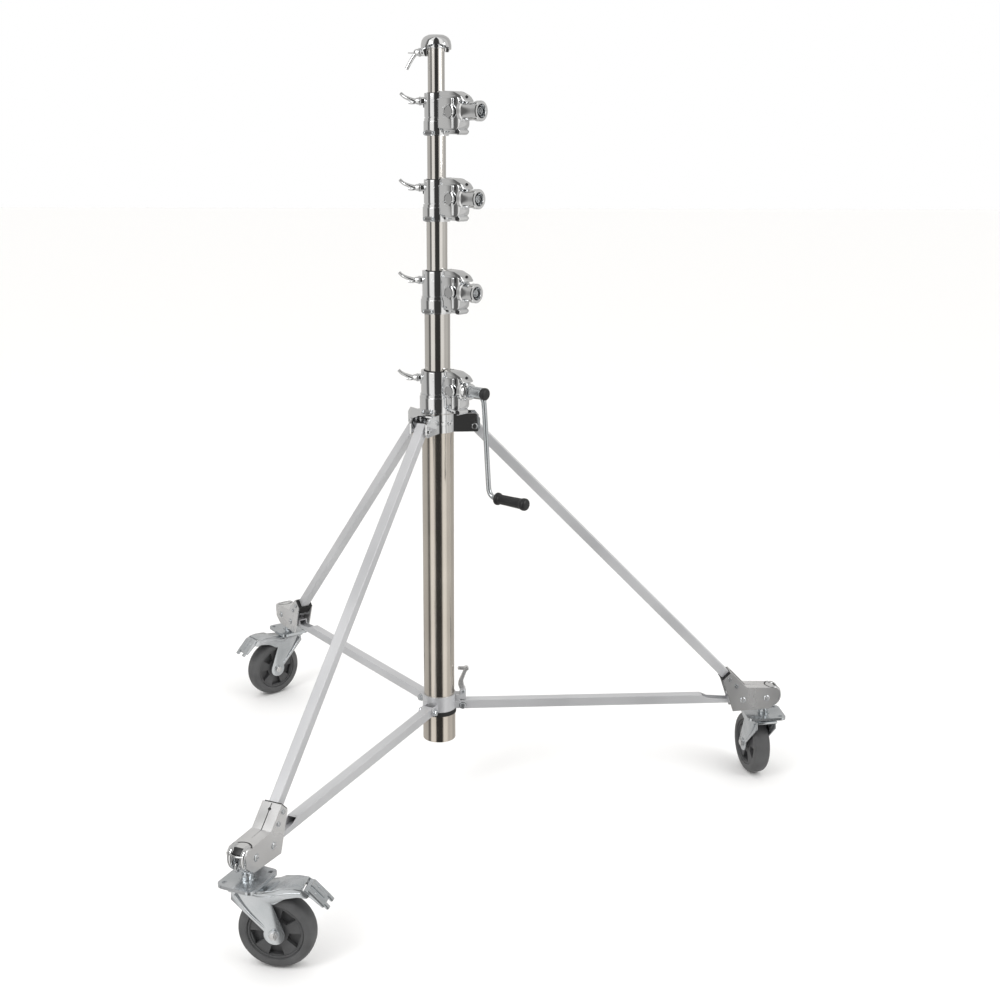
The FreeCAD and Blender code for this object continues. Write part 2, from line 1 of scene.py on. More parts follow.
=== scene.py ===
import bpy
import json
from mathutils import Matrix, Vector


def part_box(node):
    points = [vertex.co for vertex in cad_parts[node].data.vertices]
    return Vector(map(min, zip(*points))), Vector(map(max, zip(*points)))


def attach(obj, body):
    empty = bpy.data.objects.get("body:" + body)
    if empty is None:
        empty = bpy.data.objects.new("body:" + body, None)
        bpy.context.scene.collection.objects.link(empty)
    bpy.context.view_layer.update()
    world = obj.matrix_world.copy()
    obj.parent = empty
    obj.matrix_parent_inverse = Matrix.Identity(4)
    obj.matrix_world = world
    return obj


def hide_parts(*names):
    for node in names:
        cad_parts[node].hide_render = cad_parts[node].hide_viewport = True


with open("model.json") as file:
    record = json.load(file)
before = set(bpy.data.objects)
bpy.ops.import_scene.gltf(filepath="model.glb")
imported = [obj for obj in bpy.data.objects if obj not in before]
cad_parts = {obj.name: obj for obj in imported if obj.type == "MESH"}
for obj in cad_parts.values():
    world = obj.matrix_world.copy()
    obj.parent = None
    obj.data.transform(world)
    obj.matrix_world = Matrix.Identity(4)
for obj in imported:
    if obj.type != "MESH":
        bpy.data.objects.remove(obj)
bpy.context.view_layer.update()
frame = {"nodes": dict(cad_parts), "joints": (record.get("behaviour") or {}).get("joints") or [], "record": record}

import json
import math

import bmesh
import bpy
from mathutils import Matrix, Vector

NODES = frame["nodes"]
JOINTS = {joint["name"]: joint for joint in frame["joints"]}
LEGS = ("1", "2", "3")
STAGES = ("1", "2", "3", "4")
LEG_AZIMUTH = {"1": 0.0, "2": 120.0, "3": 240.0}
MM = 0.001


# ---- materials ----
def new_material(name, base, metallic, roughness):
    """A plain material, its node tree and its shader."""
    material = bpy.data.materials.new(name)
    material.use_nodes = True
    shader = material.node_tree.nodes["Principled BSDF"]
    shader.inputs["Base Color"].default_value = (*base, 1.0)
    shader.inputs["Metallic"].default_value = metallic
    shader.inputs["Roughness"].default_value = roughness
    return material, material.node_tree, shader


def add(tree, kind, **inputs):
    """Adds a node and sets its inputs by name, with spaces written as underscores."""
    node = tree.nodes.new(kind)
    for key, value in inputs.items():
        node.inputs[key.replace("_", " ")].default_value = value
    return node


def object_coordinates(tree, scale=(1, 1, 1)):
    """Object coordinates in metres, stretched by a scale along each axis."""
    source = tree.nodes.new("ShaderNodeTexCoord")
    mapping = add(tree, "ShaderNodeMapping", Scale=scale)
    tree.links.new(source.outputs["Object"], mapping.inputs["Vector"])
    return mapping.outputs["Vector"]


def noise(tree, coordinates, scale, detail):
    texture = add(tree, "ShaderNodeTexNoise", Scale=scale, Detail=detail, Roughness=0.5)
    tree.links.new(coordinates, texture.inputs["Vector"])
    return texture.outputs["Fac"]


def spread(tree, value, low, high, low_in=0.3, high_in=0.7):
    """Maps a 0 to 1 value to a range."""
    node = add(tree, "ShaderNodeMapRange", From_Min=low_in, From_Max=high_in, To_Min=low, To_Max=high)
    tree.links.new(value, node.inputs["Value"])
    return node.outputs["Result"]


def tint(tree, shader, value, dark, light):
    """Colours the surface between two tones."""
    ramp = tree.nodes.new("ShaderNodeValToRGB")
    ramp.color_ramp.elements[0].color = (*dark, 1.0)
    ramp.color_ramp.elements[1].color = (*light, 1.0)
    tree.links.new(value, ramp.inputs["Fac"])
    tree.links.new(ramp.outputs["Color"], shader.inputs["Base Color"])


def bump(tree, shader, value, strength):
    """Roughens the surface by up to four tenths of a millimetre times the strength."""
    node = add(tree, "ShaderNodeBump", Strength=strength, Distance=0.4 * MM)
    tree.links.new(value, node.inputs["Height"])
    tree.links.new(node.outputs["Normal"], shader.inputs["Normal"])


def metal(name, dark, light, rough, streak, streak_scale, strength=0.02, smudge=6.0, metallic=1.0):
    """A bare or plated metal with fine streaks or grain, and larger patches that are a little duller."""
    material, tree, shader = new_material(name, light, metallic, rough[0])
    grain = noise(tree, object_coordinates(tree, streak), streak_scale, 4.0)
    patches = noise(tree, object_coordinates(tree), smudge, 2.0)
    if streak == STREAKS:
        mixed = add(tree, "ShaderNodeMath")
        mixed.operation = "MULTIPLY"
        tree.links.new(grain, mixed.inputs[0])
        tree.links.new(patches, mixed.inputs[1])
        dullness = spread(tree, mixed.outputs["Value"], rough[0], rough[1], 0.12, 0.42)
    else:
        dullness = spread(tree, patches, rough[0], rough[1])
    tree.links.new(dullness, shader.inputs["Roughness"])
    tint(tree, shader, spread(tree, patches, 0.0, 1.0), dark, light)
    bump(tree, shader, grain, strength)
    return material


def plastic(name, dark, light, rough, grain_scale, strength):
    """A moulded plastic or rubber with a fine grain and faint patches."""
    material, tree, shader = new_material(name, light, 0.0, rough[0])
    coordinates = object_coordinates(tree)
    grain = noise(tree, coordinates, grain_scale, 4.0)
    patches = noise(tree, coordinates, 22.0, 3.0)
    tree.links.new(spread(tree, patches, rough[0], rough[1]), shader.inputs["Roughness"])
    tint(tree, shader, spread(tree, patches, 0.0, 1.0), dark, light)
    bump(tree, shader, grain, strength)
    return material


EVEN = (1, 1, 1)
STREAKS = (1, 1, 0.02)  # fine lines along a drawn tube
METALS = [
    # slot, dark tone, light tone, roughness range, grain, its scale and strength, patch scale, metallic
    ("polished_tube", (0.66, 0.64, 0.61), (0.76, 0.74, 0.71), (0.07, 0.16), STREAKS, 900.0),
    ("brushed_tube", (0.62, 0.57, 0.51), (0.74, 0.69, 0.62), (0.12, 0.24), STREAKS, 900.0, 0.04),
    ("chrome", (0.74, 0.75, 0.76), (0.86, 0.87, 0.88), (0.05, 0.13), EVEN, 500.0, 0.006),
    ("satin_steel", (0.53, 0.535, 0.55), (0.61, 0.615, 0.63), (0.28, 0.42), EVEN, 420.0, 0.03, 5.0, 0.35),
    ("zinc", (0.60, 0.60, 0.60), (0.74, 0.74, 0.74), (0.16, 0.30), EVEN, 260.0, 0.02, 9.0, 0.7),
    ("blue_zinc", (0.50, 0.53, 0.55), (0.66, 0.68, 0.70), (0.10, 0.26), EVEN, 240.0, 0.02, 14.0, 0.85),
]
PLASTICS = [
    # slot, dark tone, light tone, roughness range, scale of the grain, its strength
    ("black_plastic", (0.009, 0.009, 0.010), (0.017, 0.017, 0.018), (0.32, 0.46), 1400.0, 0.10),
    ("hub_plastic", (0.060, 0.061, 0.063), (0.090, 0.091, 0.094), (0.42, 0.56), 1600.0, 0.12),
    ("black_rubber", (0.008, 0.008, 0.008), (0.016, 0.016, 0.016), (0.60, 0.75), 900.0, 0.18),
    ("grey_tyre", (0.070, 0.071, 0.073), (0.105, 0.106, 0.108), (0.50, 0.66), 1500.0, 0.16),
]
MATERIALS = {row[0]: metal(*row) for row in METALS}
MATERIALS.update({row[0]: plastic(*row) for row in PLASTICS})
SLOT_OF = {part["node"]: part["material_slot"] for part in frame["record"]["subparts"]}


def finish_surface(obj, slot, smooth_angle=32.0):
    """Gives a piece its material and smooth shading with sharp edges kept."""
    obj.data.materials.clear()
    obj.data.materials.append(MATERIALS[slot])
    for polygon in obj.data.polygons:
        polygon.use_smooth = True
    obj.data.set_sharp_from_angle(angle=math.radians(smooth_angle))


for node_name, node in NODES.items():
    finish_surface(node, SLOT_OF[node_name])


# ---- places, all from the frame ----
def joint_place(name):
    """The frame of a hinge: its point, with local +X along its axis and local +Z as near up as can be."""
    joint = JOINTS[name]
    along = Vector(joint["axis"]).normalized()
    side = Vector((0, 0, 1)).cross(along).normalized()
    up = along.cross(side)
    return Matrix.Translation(joint["pos_m"]) @ Matrix((along, side, up)).transposed().to_4x4()


def about_z(degrees):
    """A turn about the column's axis."""
    return Matrix.Rotation(math.radians(degrees), 4, "Z")


def leg_place(leg):
    """The leg's plane: local X runs outwards from the column's axis, Z is up."""
    return about_z(LEG_AZIMUTH[leg])


def caster_place(leg):
    """The floor point under a caster's swivel, with local X the way the wheel trails."""
    swivel = Vector(JOINTS["caster_%s_swivel" % leg]["pos_m"])
    axle = Vector(JOINTS["wheel_%s_spin" % leg]["pos_m"])
    trail = axle - swivel
    place = Matrix.Rotation(math.atan2(trail.y, trail.x), 4, "Z")
    return Matrix.Translation((swivel.x, swivel.y, 0)) @ place


def turned_to(axis):
    """Turns a piece that was turned about Z so that it lies along an axis."""
    return Vector((0, 0, 1)).rotation_difference(Vector(axis)).to_matrix().to_4x4()


AXIS_X = turned_to((1, 0, 0))
AXIS_Y = turned_to((0, 1, 0))


# ---- shapes, drawn in millimetres ----
def soft(points, radius, closed=True, steps=4):
    """Rounds every corner of an outline."""
    rounded = []
    count = len(points)
    for index, point in enumerate(points):
        if not closed and index in (0, count - 1):
            rounded.append(tuple(point))
            continue
        corner = Vector(point)
        before = Vector(points[index - 1]) - corner
        after = Vector(points[(index + 1) % count]) - corner
        cut = min(radius, 0.45 * before.length, 0.45 * after.length)
        start, end = corner + before.normalized() * cut, corner + after.normalized() * cut
        for step in range(steps + 1):
            t = step / steps
            rounded.append(tuple(start * (1 - t) ** 2 + corner * 2 * t * (1 - t) + end * t ** 2))
    return rounded


def lathe(outline, segments=72, closed=False):
    """Turns a (height, radius) outline about Z. A closed outline makes a ring."""
    bm = bmesh.new()
    rings = []
    for height, radius in outline:
        if radius < 1e-6:
            rings.append([bm.verts.new((0, 0, height * MM))])
            continue
        ring = []
        for step in range(segments):
            angle = 2 * math.pi * step / segments
            across, deep = radius * math.cos(angle), radius * math.sin(angle)
            ring.append(bm.verts.new((across * MM, deep * MM, height * MM)))
        rings.append(ring)
    pairs = list(zip(rings, rings[1:]))
    if closed:
        pairs.append((rings[-1], rings[0]))
    for low, high in pairs:
        for step in range(segments):
            after = (step + 1) % segments
            if len(low) == 1 and len(high) == 1:
                continue
            if len(low) == 1:
                bm.faces.new((low[0], high[after], high[step]))
            elif len(high) == 1:
                bm.faces.new((low[step], low[after], high[0]))
            else:
                bm.faces.new((low[step], low[after], high[after], high[step]))
    return bm


def bevel_edges(bm, width):
    """Rounds every edge that bends by more than 30 degrees."""
    limit = math.radians(30.0)
    sharp = [edge for edge in bm.edges if len(edge.link_faces) == 2 and edge.calc_face_angle() > limit]
    if sharp:
        bmesh.ops.bevel(bm, geom=sharp, offset=width * MM, segments=2, profile=0.5, affect="EDGES")
    return bm


def prism(outline, y0, y1, bevel=0.8):
    """An (x, z) outline extruded along Y between two offsets."""
    bm = bmesh.new()
    face = bm.faces.new([bm.verts.new((x * MM, y0 * MM, z * MM)) for x, z in outline])
    extruded = bmesh.ops.extrude_face_region(bm, geom=[face])
    moved = [item for item in extruded["geom"] if isinstance(item, bmesh.types.BMVert)]
    bmesh.ops.translate(bm, verts=moved, vec=(0, (y1 - y0) * MM, 0))
    bmesh.ops.recalc_face_normals(bm, faces=bm.faces)
    return bevel_edges(bm, bevel)


def block(x, y, z, bevel):
    """A box between three pairs of limits."""
    outline = [(x[0], z[0]), (x[1], z[0]), (x[1], z[1]), (x[0], z[1])]
    return prism(outline, y[0], y[1], bevel)


def hexagon(radius, height, bevel=0.5):
    """A hexagonal head standing on z = 0."""
    turns = [math.radians(60 * i) for i in range(6)]
    corners = [(radius * math.cos(turn), radius * math.sin(turn)) for turn in turns]
    bm = prism(corners, 0, height, bevel)
    bmesh.ops.transform(bm, matrix=Matrix.Rotation(math.radians(90), 4, "X"), verts=bm.verts)
    return bm


def sweep(points, radius, sides=20, ends=True, smooth=True):
    """A rod along a path of (x, y, z) points. The radius may be a function that gives two along the way."""
    path = [Vector(point) * MM for point in points]
    if smooth:
        for _ in range(3):
            finer = [path[0]]
            for a, b in zip(path, path[1:]):
                finer += [a * 0.75 + b * 0.25, a * 0.25 + b * 0.75]
            path = finer + [path[-1]]
    bm = bmesh.new()
    rings = []
    reference = None
    for index, point in enumerate(path):
        ahead = path[min(index + 1, len(path) - 1)] - path[max(index - 1, 0)]
        ahead.normalize()
        if reference is None:
            reference = ahead.orthogonal().normalized() if abs(ahead.y) > 0.9 else Vector((0, 1, 0))
        side = (reference - ahead * reference.dot(ahead)).normalized()
        up = ahead.cross(side)
        reference = side
        t = index / (len(path) - 1)
        across, thick = radius(t) if callable(radius) else (radius, radius)
        ring = []
        for step in range(sides):
            angle = 2 * math.pi * step / sides
            offset = side * across * MM * math.cos(angle) + up * thick * MM * math.sin(angle)
            ring.append(bm.verts.new(point + offset))
        rings.append(ring)
    for low, high in zip(rings, rings[1:]):
        for step in range(sides):
            after = (step + 1) % sides
            bm.faces.new((low[step], low[after], high[after], high[step]))
    if ends:
        bm.faces.new(list(reversed(rings[0])))
        bm.faces.new(rings[-1])
    return bm


def shift(bm, x=0.0, y=0.0, z=0.0, turn=None):
    """Turns a shape, then moves it, in millimetres."""
    matrix = Matrix.Translation((x * MM, y * MM, z * MM)) @ (turn or Matrix.Identity(4))
    bmesh.ops.transform(bm, matrix=matrix, verts=bm.verts)
    return bm


def piece(name, shapes, slot, body, place=None, replaces=(), smooth_angle=35.0):
    """Makes one object from its shapes, in its own place, riding on its body."""
    mesh = bpy.data.meshes.new(name)
    whole = bmesh.new()
    for shape in shapes:
        bmesh.ops.recalc_face_normals(shape, faces=shape.faces)
        part = bpy.data.meshes.new("part")
        shape.to_mesh(part)
        shape.free()
        whole.from_mesh(part)
        bpy.data.meshes.remove(part)
    whole.to_mesh(mesh)
    whole.free()
    if place is not None:
        mesh.transform(place)
    obj = bpy.data.objects.new(name, mesh)
    bpy.context.collection.objects.link(obj)
    finish_surface(obj, slot, smooth_angle)
    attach(obj, body)
    if replaces:
        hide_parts(*replaces)
    return obj


def rod(low, high, radius, edge, segments):
    """A round rod along Z between two heights, with softened rims."""
    return lathe(soft([(low, 0), (low, radius), (high, radius), (high, 0)], edge, closed=False), segments)


def cap_screw(radius, height, socket=0.45):
    """A screw head on z = 0 with a hexagon socket sunk into it."""
    rim = soft([(0, radius), (height, radius), (height, radius * socket)], 0.8, closed=False)
    return lathe([(0, 0)] + rim + [(height * 0.4, radius * socket), (height * 0.4, 0)], 24)


def dome(radius, height):
    """A low domed rivet head on z = 0."""
    turns = [math.pi / 2 * i / 6 for i in range(6)]
    arc = [(height * math.sin(turn), radius * math.cos(turn)) for turn in turns]
    return lathe([(0, 0)] + arc + [(height, 0)], 28)


def both_sides(make, x, y, z):
    """Two of the same shape, each standing outwards at a distance y from the plane y = 0."""
    return [shift(make(), x, side * y, z, turned_to((0, side, 0))) for side in (-1, 1)]


# ---- gearboxes, one on each collar ----
def body_of_stage(stage):
    """The body that carries a collar: the base for the first, else the riser below it."""
    return "base" if stage == "1" else "riser_%d" % (int(stage) - 1)


def facing(axis_name):
    """The turn about Z that brings local X to a hinge's axis."""
    axis = Vector(JOINTS[axis_name]["axis"])
    return Matrix.Rotation(math.atan2(axis.y, axis.x), 4, "Z")


GEAR_PLACE = facing("crank_turn")
BOLT_PLACE = facing("t_bolt_1_turn")


def height_span(node):
    """The lowest and highest point of a node, in millimetres."""
    low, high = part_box(node)
    return low.z / MM, high.z / MM


def tube_radius(node):
    """The outer radius of an upright tube, in millimetres."""
    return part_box(node)[1].x / MM


def collar_radius(node):
    """The outer radius of a collar or cap, measured across Y, where it carries no lug."""
    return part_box(node)[1].y / MM


def reach(node, place):
    """How far a node runs along a place's local X, in millimetres."""
    turn = place.inverted()
    along = [(turn @ vertex.co).x / MM for vertex in NODES[node].data.vertices]
    return min(along), max(along)


def shaft_height(stage):
    """The height of the shaft that drives a gearbox."""
    name = "crank_turn" if stage == "1" else "input_shaft_%s_turn" % stage
    return JOINTS[name]["pos_m"][2] / MM


SHAFT_OVER_SHOULDER = 18.0
BLOCK_HALF, BLOCK_END = 18.0, 84.0  # half the casting's width, and where its front face stands
WAIST_HALF, HOOD_HALF, HEEL_HALF = 21.5, 17.5, 9.0
COVER_X, COVER_FACE, COVER_SCREWS_R = 56.0, 21.2, 14.0
LUG_X, LUG_HALF, LUG_OVER_BOTTOM = 76.0, 15.0, 9.0
SLOT_X, SLOT_Y = 72.0, 17.9  # the upright slots in the casting's sides, where black rods stand in for painted shade


def gearbox_nose(stage, nose_end, shaft_z):
    """The round nose on the casting's front. The upper three end in a deep mouth with a lip."""
    flange = [(BLOCK_END - 4, 0), (BLOCK_END - 4, 24), (BLOCK_END + 4, 24), (BLOCK_END + 6, 21),
              (BLOCK_END + 11, 20)]
    if stage == "1":
        barrel = [(nose_end - 6, 19), (nose_end - 1, 19), (nose_end, 18)]
        mouth = [(nose_end, 8.2)]
    else:
        barrel = [(nose_end - 14, 20), (nose_end - 12, 22), (nose_end - 1.5, 22), (nose_end, 20.5)]
        mouth = [(nose_end, 15.5), (nose_end - 1.5, 14.5), (nose_end - 20, 14.5), (nose_end - 20, 8.2)]
    return shift(lathe(flange + barrel + mouth, 72), 0, 0, shaft_z, AXIS_X)


def side_cover(side, middle_z):
    """A round cover on one side of the casting, with its three screws."""
    turn = turned_to((0, side, 0))
    disc = lathe([(0, 0), (0, 17), (3.0, 17), (4.0, 15.5), (4.0, 11.5), (3.0, 10.8), (3.0, 0)], 56)
    parts = [shift(disc, COVER_X, side * COVER_FACE, middle_z, turn)]
    for step in range(3):
        angle = math.radians(120 * step + 90)
        x = COVER_X + COVER_SCREWS_R * math.cos(angle)
        z = middle_z + COVER_SCREWS_R * math.sin(angle)
        parts.append(shift(cap_screw(2.6, 1.8), x, side * (COVER_FACE + 3.4), z, turn))
    return parts


def gearbox(stage):
    """A collar's casting with its nose, covers, hood and lug, the black bolts, black rods as painted shade in its
    side slots, and the dog in its mouth.
    """
    body = body_of_stage(stage)
    housing = "gear_housing_" + stage
    bottom, top = height_span("collar_" + stage)
    shaft_z = shaft_height(stage)
    shoulder = shaft_z - SHAFT_OVER_SHOULDER
    tube_below = "base_tube" if stage == "1" else "riser_%d" % (int(stage) - 1)
    low_r = tube_radius(tube_below) + 3.0
    near = tube_radius("riser_" + stage) + 6.0
    nose_end = reach(housing, GEAR_PLACE)[1]
    casting = soft([
        (low_r, bottom + 12), (72, bottom + 9), (BLOCK_END, bottom + 20), (BLOCK_END, top - 14),
        (76, top - 5), (near + 4, top - 4), (near + 2, shoulder + 3), (low_r, shoulder),
    ], 7.0)
    waist = soft([
        (low_r, bottom + 16), (66, bottom + 14), (66, top - 10), (near, top - 10),
        (near, shoulder + 3), (low_r, shoulder),
    ], 4.0)
    hood = soft([
        (near - 2, top + 5), (66, top + 3.5), (88, top - 6), (97, top - 17), (94, top - 21),
        (84, top - 14), (near, top - 8),
    ], 5.0)
    heel = soft([(low_r + 4, bottom + 4), (80, bottom + 3), (82, bottom + 14), (low_r + 4, bottom + 16)], 3.0)
    lug_z = bottom + LUG_OVER_BOTTOM
    parts = [
        prism(casting, -BLOCK_HALF, BLOCK_HALF, 2.2),
        prism(waist, -WAIST_HALF, WAIST_HALF, 1.6),
        gearbox_nose(stage, nose_end, shaft_z),
        prism(hood, -HOOD_HALF, HOOD_HALF, 2.4),
        shift(rod(0, 2 * LUG_HALF, 6.8, 1.2, 40), LUG_X, -LUG_HALF, lug_z, AXIS_Y),
        prism(heel, -HEEL_HALF, HEEL_HALF, 1.5),
    ]
    for side in (-1, 1):
        parts += side_cover(side, shaft_z - 1)
    piece("gearbox_" + stage, parts, "chrome", body, GEAR_PLACE, [housing])

    bolts = both_sides(lambda: hexagon(5.0, 3.6), LUG_X, LUG_HALF, lug_z)
    bolts.append(shift(cap_screw(3.4, 3.0), 90, 0, top - 9.5, turned_to((0.64, 0, 0.77))))
    # black rods stand in for painted shade in the two upright slots
    for y in (-SLOT_Y, SLOT_Y):
        bolts.append(sweep([(SLOT_X, y, top - 11), (SLOT_X, y, top - 22)], 2.2, 16, smooth=False))
    piece("gearbox_bolts_and_slot_shade_" + stage, bolts, "black_plastic", body, GEAR_PLACE)

    if stage != "1":
        shaft_end = shift(rod(nose_end - 19, nose_end - 4, 7.8, 0.9, 36), 0, 0, shaft_z, AXIS_X)
        dog = shift(rod(-11, 11, 2.8, 0.6, 20), nose_end - 10, 0, shaft_z, AXIS_Y)
        piece("input_dog_" + stage, [shaft_end, dog], "blue_zinc", "input_shaft_" + stage, GEAR_PLACE)


# ---- collars ----
SLEEVE_WALL = {"1": 7.5, "2": 9.0, "3": 6.5, "4": 6.5}  # outside each tube
LUG_AZIMUTH = -125.0


def collar_trim(stage):
    """The rivets round a collar, its two turned sleeves, its clamp bolt and the wiper on the tube."""
    body = body_of_stage(stage)
    bottom, top = height_span("collar_" + stage)
    shoulder = shaft_height(stage) - SHAFT_OVER_SHOULDER
    riser_r = tube_radius("riser_" + stage)
    sleeve_r = riser_r + SLEEVE_WALL[stage]
    skirt_r = collar_radius("collar_" + stage)
    # azimuth, radius and height of each rivet, radius of its head
    rivets = [
        (-112.0, sleeve_r, shoulder + 40, 5.6),
        (60.0, sleeve_r, shoulder + 40, 5.6),
        (-80.0, skirt_r, bottom + 9, 3.4),
    ]
    heads = []
    for azimuth, r, z, head_r in rivets:
        head = shift(dome(head_r, 2.0), r - 0.4, 0, z, AXIS_X)
        heads.append(shift(head, turn=about_z(azimuth)))
    piece("collar_screws_" + stage, heads, "chrome", body)
    bands = []
    for low, high, r in ((shoulder + 5, top - 1.5, sleeve_r), (bottom + 2, shoulder - 3, skirt_r)):
        band = soft([(low, r - 2), (low, r + 1.6), (high, r + 1.6), (high, r - 2)], 1.2)
        bands.append(lathe(band, 96, closed=True))
    piece("collar_sleeves_" + stage, bands, "chrome", body)
    bolts = both_sides(lambda: hexagon(5.2, 4.0), skirt_r + 4.0, 9.0, bottom + 6)
    piece("collar_bolt_" + stage, bolts, "blue_zinc", body, about_z(LUG_AZIMUTH))
    lip = top + 1.2
    wiper = [(top, riser_r + 0.4), (top, riser_r + 3.0), (lip, riser_r + 2.6), (lip, riser_r + 0.4)]
    piece("wiper_" + stage, [lathe(soft(wiper, 0.4), 72, closed=True)], "black_rubber", body)


# ---- T-bolts ----
HEAD_SOCKET_WALL_R = 19.0
SEAT_OVER_WALL = 14.4  # the hub of a bolt stands this far outside what it clamps


def wing_section(t):
    """The half width and half thickness of a wing at a way t along it."""
    return 5.0 + 5.0 * math.sin(math.pi * min(1.0, t * 1.1)) ** 2, 5.2 - 1.6 * t


def t_bolt(number):
    """A clamp screw with its hub and a flat wing that rises at the tip. The top one's lever hangs down."""
    joint = "t_bolt_%s_turn" % number
    name = "t_bolt_" + number
    origin = Vector(JOINTS[joint]["pos_m"]).to_2d().length / MM
    tip, end = (x - origin for x in reach(name, BOLT_PLACE))
    wall_r = HEAD_SOCKET_WALL_R if number == "5" else tube_radius("riser_" + number)
    seat = wall_r + SEAT_OVER_WALL - origin
    screw = shift(rod(tip, seat + 2, 3.9, 0.7, 32), turn=AXIS_X)
    outline = [(seat, 0), (seat, 8.6), (seat + 2.5, 9.6), (seat + 5, 9.6), (seat + 6.5, 7.8),
               (seat + 12, 7.0), (seat + 16, 4.6), (seat + 17, 0)]
    hub = shift(lathe(soft(outline, 1.0, closed=False), 40), turn=AXIS_X)
    tail = sweep([(seat + 9, 0, 0), (seat + 19, 0, -4), (seat + 29, 0, -3)],
                 lambda t: (7.0 - 3.4 * t, 4.6 - 1.4 * t), 20)
    hangs = sum(height_span(name)) <= 2 * JOINTS[joint]["pos_m"][2] / MM
    if hangs:
        for vertex in tail.verts:
            vertex.co.z *= 0.4
        lever = [(seat + 5, 0, 0), (seat + 12, 0, -3), (seat + 20, 0, -13), (seat + 27, 0, -25),
                 (seat + 33, 0, -36)]
        wing = sweep(lever, lambda t: (4.4, 4.2), 24)
    else:
        rising = [(seat + 7, 0, -1), (seat + 16, 0, 1), (end - 22, 0, 4), (end - 9, 0, 9), (end - 1, 0, 17)]
        wing = sweep(rising, wing_section, 24)
    piece("wing_bolt_" + number, [screw, hub, wing, tail], "chrome", name, joint_place(joint), [name])


# ---- crank ----
CRANK_SLEEVE_R, CRANK_BORE_R = 14.0, 8.1
CRANK_ROD_R = 6.0
FLUTES, FLUTE_DEPTH = 16, 0.045  # of the grip: how many, and how deep for a radius of one


def crank():
    """The bent crank rod with its sleeve on the shaft, the black end cap, and the turning grip."""
    shaft_z = shaft_height("1")
    grip_low, grip_high = reach("crank_grip", GEAR_PLACE)
    grip_z = sum(height_span("crank_grip")) / 2
    cap_low, cap_high = reach("crank_cap", GEAR_PLACE)
    sleeve_low = reach("crank_arm", GEAR_PLACE)[0]
    sleeve = soft([(sleeve_low, CRANK_BORE_R), (sleeve_low, CRANK_SLEEVE_R), (cap_low, CRANK_SLEEVE_R),
                   (cap_low, CRANK_BORE_R)], 1.4)
    arm_x = cap_low + 3.0
    path = [
        (arm_x - 1, 0, shaft_z - 6), (arm_x, 0, shaft_z - 18), (arm_x + 3, 0, shaft_z - 45),
        (arm_x + 9, 0, shaft_z - 130), (arm_x + 15, 0, grip_z + 30), (arm_x + 17, 0, grip_z + 12),
        (arm_x + 27, 0, grip_z + 1), (grip_low + 2, 0, grip_z),
    ]
    weld = lathe(soft([(0, 0), (0, 7.6), (6, 6.4), (8, 0)], 1.8, closed=False), 32)
    shapes = [
        shift(lathe(sleeve, 56, closed=True), 0, 0, shaft_z, AXIS_X),
        sweep(path, CRANK_ROD_R, 24),
        shift(weld, arm_x - 1, 0, shaft_z - 12, turned_to((0.1, 0, -1))),
        shift(rod(grip_low - 4, grip_low - 1, 8, 0.8, 28), 0, 0, grip_z, AXIS_X),
    ]
    piece("crank_rod", shapes, "blue_zinc", "crank", GEAR_PLACE, ["crank_arm"])
    outline = [
        (cap_low + 0.2, 0), (cap_low + 0.2, CRANK_SLEEVE_R + 0.2), (cap_high - 4, CRANK_SLEEVE_R + 0.3),
        (cap_high - 1, 11.0), (cap_high, 5.0), (cap_high, 0),
    ]
    cap = shift(lathe(soft(outline, 3.0, closed=False), 56), 0, 0, shaft_z, AXIS_X)
    piece("crank_end_cap", [cap], "black_plastic", "crank", GEAR_PLACE, ["crank_cap"])
    outline = [
        (grip_low, 5.3), (grip_low, 12), (grip_low + 2.5, 14.8), (grip_low + 8, 14.8), (grip_low + 12, 11.6),
        (grip_low + 40, 11.9), (grip_high - 17, 12.6), (grip_high - 12, 14.6), (grip_high - 4, 14.4),
        (grip_high, 9.5), (grip_high, 0),
    ]
    grip = lathe(soft(outline, 3.0, closed=False), 96)
    fluted_low, fluted_high = (grip_low + 13) * MM, (grip_high - 18) * MM
    for vertex in grip.verts:
        if fluted_low < vertex.co.z < fluted_high:
            wave = 0.5 + 0.5 * math.cos(FLUTES * math.atan2(vertex.co.y, vertex.co.x))
            vertex.co.x *= 1.0 - FLUTE_DEPTH * wave
            vertex.co.y *= 1.0 - FLUTE_DEPTH * wave
    shift(grip, 0, 0, grip_z, AXIS_X)
    piece("crank_handle", [grip], "black_plastic", "crank_grip", GEAR_PLACE, ["crank_grip"])


# ---- head ----
SOCKET_R = 14.4
SKIRT_INNER_R = 19.2
CHEEK_ROOT_R = 19.4


